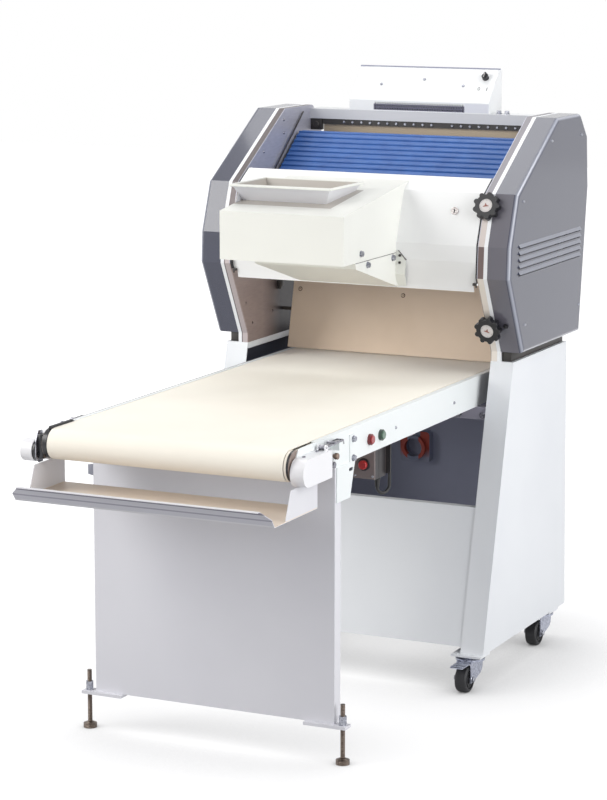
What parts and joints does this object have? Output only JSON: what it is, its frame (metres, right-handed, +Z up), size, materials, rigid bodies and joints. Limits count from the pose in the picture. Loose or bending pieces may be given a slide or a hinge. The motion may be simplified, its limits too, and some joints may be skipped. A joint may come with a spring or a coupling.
{
  "type": "dough moulder",
  "caption": "Free-standing dough moulder: a roller head with hopper and hood on a wheeled stand, and a long outfeed belt with a catch tray on a front leg.",
  "frame": {"origin": "on the floor under the middle of the machine's overall box", "axes": "+X to the right seen from the outfeed end, +Y from the outfeed end to the back, +Z up"},
  "size_m": [0.966, 1.9, 1.679],
  "materials": {
    "stand_paint": "semi-gloss powder coat",
    "slate_paint": "satin dark paint",
    "rail_paint": "semi-gloss powder coat",
    "leg_paint": "semi-gloss powder coat",
    "tray_paint": "semi-gloss powder coat",
    "hood_paint": "semi-gloss powder coat",
    "hopper_paint": "semi-gloss powder coat",
    "top_paint": "semi-gloss powder coat",
    "cover_paint": "grey metallic paint",
    "plate_metal": "satin plate with a white outer band",
    "block_plastic": "moulded white plastic",
    "carrier_plastic": "black plastic",
    "zinc": "zinc plated",
    "fastener": "zinc plated",
    "latch_steel": "stainless",
    "foot_steel": "dark steel",
    "tyre": "black rubber",
    "belt_cloth": "coated cream belt cloth",
    "felt": "beige felt",
    "ribbed_rubber": "blue ribbed rubber",
    "roller_metal": "turned",
    "comb_black": "black strip",
    "board_plastic": "warm beige plastic board",
    "knob_black": "black moulded plastic",
    "dial_face": "pale dial under a clear cover",
    "lock_metal": "plated",
    "switch_black": "black plastic",
    "button_red": "red plastic",
    "button_green": "green plastic",
    "bezel": "black plastic",
    "box_plastic": "grey plastic",
    "stop_red": "red plastic",
    "lead_black": "black sheath",
    "inlet_plastic": "red and dark grey plastic"
  },
  "bodies": {
    "swivel_front_left": {"caster_fork_front_left": "zinc"},
    "wheel_front_left": {"caster_wheel_front_left": "tyre"},
    "brake_left": {"caster_brake_front_left": "zinc"},
    "swivel_front_right": {"caster_fork_front_right": "zinc"},
    "wheel_front_right": {"caster_wheel_front_right": "tyre"},
    "brake_right": {"caster_brake_front_right": "zinc"},
    "swivel_rear_left": {"caster_fork_rear_left": "zinc"},
    "wheel_rear_left": {"caster_wheel_rear_left": "tyre"},
    "swivel_rear_right": {"caster_fork_rear_right": "zinc"},
    "wheel_rear_right": {"caster_wheel_rear_right": "tyre"},
    "knob_upper": {"knob_upper": "knob_black", "dial_upper": "dial_face"},
    "knob_lower": {"knob_lower": "knob_black", "dial_lower": "dial_face"},
    "board": {"pressure_board": "board_plastic"},
    "fan_switch": {"fan_switch": "switch_black"},
    "hood_lock": {"hood_lock": "lock_metal"},
    "button_red": {"button_red": "button_red"},
    "button_green": {"button_green": "button_green"},
    "stop_button": {"stop_button": "stop_red"},
    "latch_left": {"latch_lever_left": "latch_steel"},
    "latch_right": {"latch_lever_right": "latch_steel"},
    "conveyor_roller_front": {"conveyor_roller_front": "roller_metal"},
    "conveyor_roller_rear": {"conveyor_roller_rear": "roller_metal"},
    "feed_roller_upper": {"feed_roller_upper": "roller_metal"},
    "feed_roller_lower": {"feed_roller_lower": "roller_metal"},
    "foot_left": {"levelling_foot_left": "foot_steel"},
    "foot_right": {"levelling_foot_right": "foot_steel"},
    "machine": {"stand_leg_left": "stand_paint", "stand_leg_right": "stand_paint", "stand_front_panel": "stand_paint", "stand_back_panel": "slate_paint", "conveyor_rail_left": "rail_paint", "conveyor_rail_right": "rail_paint", "leg_brackets": "rail_paint", "leg_panel": "leg_paint", "conveyor_crossmember": "leg_paint", "catch_tray": "tray_paint", "hood": "hood_paint", "hopper": "hopper_paint", "chute": "hopper_paint", "top_crossbar": "top_paint", "blower_box": "top_paint", "side_cover_left": "cover_paint", "side_cover_right": "cover_paint", "side_plate_left": "plate_metal", "side_plate_right": "plate_metal", "end_block_left": "block_plastic", "end_block_right": "block_plastic", "roller_carriers": "carrier_plastic", "pan_screws": "fastener", "hex_bolts": "fastener", "conveyor_belt": "belt_cloth", "felt_wiper": "felt", "feed_belt": "ribbed_rubber", "comb_strip": "comb_black", "button_bezels": "bezel", "control_box": "box_plastic", "control_cable": "lead_black", "mains_inlet": "inlet_plastic"}
  },
  "joints": [
    {"name": "swivel_front_left", "type": "hinge", "parent": "machine", "child": "swivel_front_left", "pos_m": [-0.404, 0.23697, 0.095], "axis": [0, 0, 1], "continuous": true},
    {"name": "roll_front_left", "type": "hinge", "parent": "swivel_front_left", "child": "wheel_front_left", "pos_m": [-0.404, 0.19697, 0.0375], "axis": [1, 0, 0], "continuous": true},
    {"name": "brake_left", "type": "hinge", "parent": "swivel_front_left", "child": "brake_left", "pos_m": [-0.404, 0.19496, 0.08245], "axis": [1, 0, 0], "range_deg": [0, 10]},
    {"name": "swivel_front_right", "type": "hinge", "parent": "machine", "child": "swivel_front_right", "pos_m": [0.404, 0.23697, 0.095], "axis": [0, 0, 1], "continuous": true},
    {"name": "roll_front_right", "type": "hinge", "parent": "swivel_front_right", "child": "wheel_front_right", "pos_m": [0.404, 0.19697, 0.0375], "axis": [1, 0, 0], "continuous": true},
    {"name": "brake_right", "type": "hinge", "parent": "swivel_front_right", "child": "brake_right", "pos_m": [0.404, 0.19496, 0.08245], "axis": [1, 0, 0], "range_deg": [0, 10]},
    {"name": "swivel_rear_left", "type": "hinge", "parent": "machine", "child": "swivel_rear_left", "pos_m": [-0.404, 0.78197, 0.095], "axis": [0, 0, 1], "continuous": true},
    {"name": "roll_rear_left", "type": "hinge", "parent": "swivel_rear_left", "child": "wheel_rear_left", "pos_m": [-0.404, 0.74196, 0.0375], "axis": [1, 0, 0], "continuous": true},
    {"name": "swivel_rear_right", "type": "hinge", "parent": "machine", "child": "swivel_rear_right", "pos_m": [0.404, 0.78197, 0.095], "axis": [0, 0, 1], "continuous": true},
    {"name": "roll_rear_right", "type": "hinge", "parent": "swivel_rear_right", "child": "wheel_rear_right", "pos_m": [0.404, 0.74196, 0.0375], "axis": [1, 0, 0], "continuous": true},
    {"name": "turn_knob_upper", "type": "hinge", "parent": "machine", "child": "knob_upper", "pos_m": [0.396, 0.35342, 1.336], "axis": [0, -0.939, 0.3439], "range_deg": [-720, 720]},
    {"name": "turn_knob_lower", "type": "hinge", "parent": "machine", "child": "knob_lower", "pos_m": [0.396, 0.38395, 0.999], "axis": [0, -0.9744, -0.225], "range_deg": [-40, 1640]},
    {"name": "raise_board", "type": "slide", "parent": "machine", "child": "board", "axis": [0, 0.2334, 0.9724], "range_m": [-0.001, 0.045]},
    {"name": "turn_fan_switch", "type": "hinge", "parent": "machine", "child": "fan_switch", "pos_m": [0.163, 0.90662, 1.65263], "axis": [0, -0.7487, 0.6629], "range_deg": [0, 90]},
    {"name": "turn_hood_lock", "type": "hinge", "parent": "machine", "child": "hood_lock", "pos_m": [0.298, 0.34829, 1.322], "axis": [0, -0.939, 0.3439], "range_deg": [0, 90]},
    {"name": "press_red", "type": "slide", "parent": "machine", "child": "button_red", "axis": [-1, 0, 0], "range_m": [0, 0.004], "stiffness_N_per_m": 500},
    {"name": "press_green", "type": "slide", "parent": "machine", "child": "button_green", "axis": [-1, 0, 0], "range_m": [0, 0.004], "stiffness_N_per_m": 500},
    {"name": "press_stop", "type": "slide", "parent": "machine", "child": "stop_button", "axis": [0, 1, 0], "range_m": [0, 0.004], "stiffness_N_per_m": 700},
    {"name": "lift_latch_left", "type": "hinge", "parent": "machine", "child": "latch_left", "pos_m": [-0.366, -0.65504, 0.8425], "axis": [1, 0, 0], "range_deg": [0, 110]},
    {"name": "lift_latch_right", "type": "hinge", "parent": "machine", "child": "latch_right", "pos_m": [0.366, -0.65504, 0.8425], "axis": [1, 0, 0], "range_deg": [0, 110]},
    {"name": "turn_conveyor_front", "type": "hinge", "parent": "machine", "child": "conveyor_roller_front", "pos_m": [0, -0.76504, 0.814], "axis": [1, 0, 0], "continuous": true},
    {"name": "turn_conveyor_rear", "type": "hinge", "parent": "machine", "child": "conveyor_roller_rear", "pos_m": [0, 0.73996, 0.814], "axis": [1, 0, 0], "continuous": true},
    {"name": "turn_feed_upper", "type": "hinge", "parent": "machine", "child": "feed_roller_upper", "pos_m": [0, 0.76101, 1.45041], "axis": [1, 0, 0], "continuous": true},
    {"name": "turn_feed_lower", "type": "hinge", "parent": "machine", "child": "feed_roller_lower", "pos_m": [0, 0.56934, 1.30598], "axis": [1, 0, 0], "continuous": true},
    {"name": "turn_foot_left", "type": "hinge", "parent": "machine", "child": "foot_left", "pos_m": [-0.37, -0.53904, 0.103], "axis": [0, 0, 1], "range_deg": [-720, 720]},
    {"name": "turn_foot_right", "type": "hinge", "parent": "machine", "child": "foot_right", "pos_m": [0.37, -0.53904, 0.103], "axis": [0, 0, 1], "range_deg": [-720, 720]}
  ],
  "couplings": [
    {"joint": "turn_knob_lower", "follows": "raise_board", "rad_per_m": 628.32},
    {"joint": "turn_conveyor_front", "follows": "turn_conveyor_rear", "ratio": 1},
    {"joint": "turn_feed_lower", "follows": "turn_feed_upper", "ratio": 1}
  ]
}
